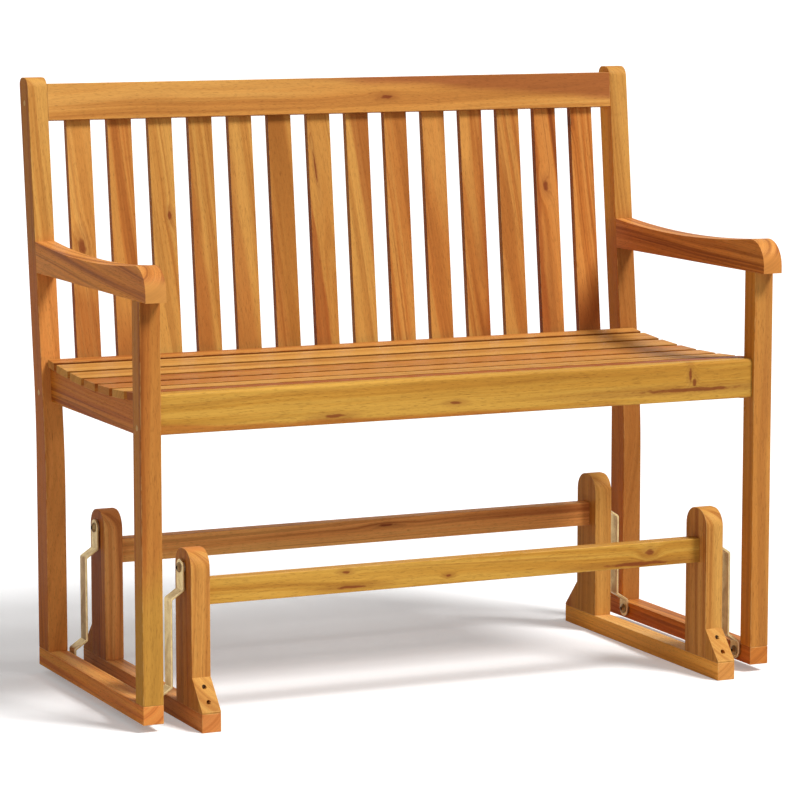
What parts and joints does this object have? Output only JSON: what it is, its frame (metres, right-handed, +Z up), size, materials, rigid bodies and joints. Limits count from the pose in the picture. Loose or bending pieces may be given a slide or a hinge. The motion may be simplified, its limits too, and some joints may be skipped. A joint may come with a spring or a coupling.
{
  "type": "swing bench",
  "caption": "slatted wooden garden bench with arms and a leaning back, hung by metal links inside its legs from a low wooden base so that it glides to and fro",
  "frame": {"origin": "on the floor, at the middle of the bench's footprint box", "axes": "+X runs along the bench to the sitter's left, which is the right in the picture; +Y runs from the front of the seat to the back; +Z is up"},
  "size_m": [1.05, 0.5616, 0.934],
  "materials": {
    "frame_wood": "oiled",
    "slat_wood": "oiled",
    "plug_wood": "oiled",
    "yellow_zinc": "satin",
    "dark_steel": "satin"
  },
  "bodies": {
    "base": {"foot_rail_left": "frame_wood", "foot_rail_right": "frame_wood", "base_post_front_left": "frame_wood", "base_post_front_right": "frame_wood", "base_post_rear_left": "frame_wood", "base_post_rear_right": "frame_wood", "gusset_front_left": "frame_wood", "gusset_front_right": "frame_wood", "gusset_rear_left": "frame_wood", "gusset_rear_right": "frame_wood", "front_stretcher": "frame_wood", "rear_stretcher": "frame_wood", "gusset_screws": "dark_steel", "upper_pivot_screws": "yellow_zinc", "upper_washers": "dark_steel"},
    "bench": {"bottom_rail_left": "frame_wood", "bottom_rail_right": "frame_wood", "front_leg_left": "frame_wood", "front_leg_right": "frame_wood", "rear_post_left": "frame_wood", "rear_post_right": "frame_wood", "armrest_left": "frame_wood", "armrest_right": "frame_wood", "seat_side_rail_left": "frame_wood", "seat_side_rail_right": "frame_wood", "front_apron": "frame_wood", "rear_seat_rail": "frame_wood", "centre_bearer": "frame_wood", "rear_seat_slat": "slat_wood", "top_rail": "slat_wood", "frame_dowels": "plug_wood", "frame_bolts": "dark_steel", "bolt_plugs": "plug_wood", "seat_screws": "dark_steel", "lower_pivot_screws": "yellow_zinc", "lower_washers": "dark_steel", "seat_slat_1": "slat_wood", "seat_slat_2": "slat_wood", "seat_slat_3": "slat_wood", "seat_slat_4": "slat_wood", "seat_slat_5": "slat_wood", "seat_slat_6": "slat_wood", "back_slat_1": "slat_wood", "back_slat_2": "slat_wood", "back_slat_3": "slat_wood", "back_slat_4": "slat_wood", "back_slat_5": "slat_wood", "back_slat_6": "slat_wood", "back_slat_7": "slat_wood", "back_slat_8": "slat_wood", "back_slat_9": "slat_wood", "back_slat_10": "slat_wood", "back_slat_11": "slat_wood", "back_slat_12": "slat_wood", "back_slat_13": "slat_wood", "back_slat_14": "slat_wood"},
    "link_front_left_body": {"link_front_left": "yellow_zinc"},
    "link_front_right_body": {"link_front_right": "yellow_zinc"},
    "link_rear_left_body": {"link_rear_left": "yellow_zinc"},
    "link_rear_right_body": {"link_rear_right": "yellow_zinc"}
  },
  "joints": [
    {"name": "swing", "type": "hinge", "parent": "base", "child": "link_front_left_body", "pos_m": [-0.45005, -0.20728, 0.235], "axis": [1, 0, 0], "range_deg": [-20, 20]},
    {"name": "bench_level", "type": "hinge", "parent": "link_front_left_body", "child": "bench", "pos_m": [-0.48895, -0.20728, 0.029], "axis": [1, 0, 0], "range_deg": [-20, 20]},
    {"name": "front_right_swing", "type": "hinge", "parent": "base", "child": "link_front_right_body", "pos_m": [0.45005, -0.20728, 0.235], "axis": [1, 0, 0], "range_deg": [-20, 20]},
    {"name": "rear_left_swing", "type": "hinge", "parent": "base", "child": "link_rear_left_body", "pos_m": [-0.45005, 0.16572, 0.235], "axis": [1, 0, 0], "range_deg": [-20, 20]},
    {"name": "rear_right_swing", "type": "hinge", "parent": "base", "child": "link_rear_right_body", "pos_m": [0.45005, 0.16572, 0.235], "axis": [1, 0, 0], "range_deg": [-20, 20]}
  ],
  "couplings": [
    {"joint": "bench_level", "follows": "swing", "ratio": -1},
    {"joint": "front_right_swing", "follows": "swing", "ratio": 1},
    {"joint": "rear_left_swing", "follows": "swing", "ratio": 1},
    {"joint": "rear_right_swing", "follows": "swing", "ratio": 1}
  ]
}
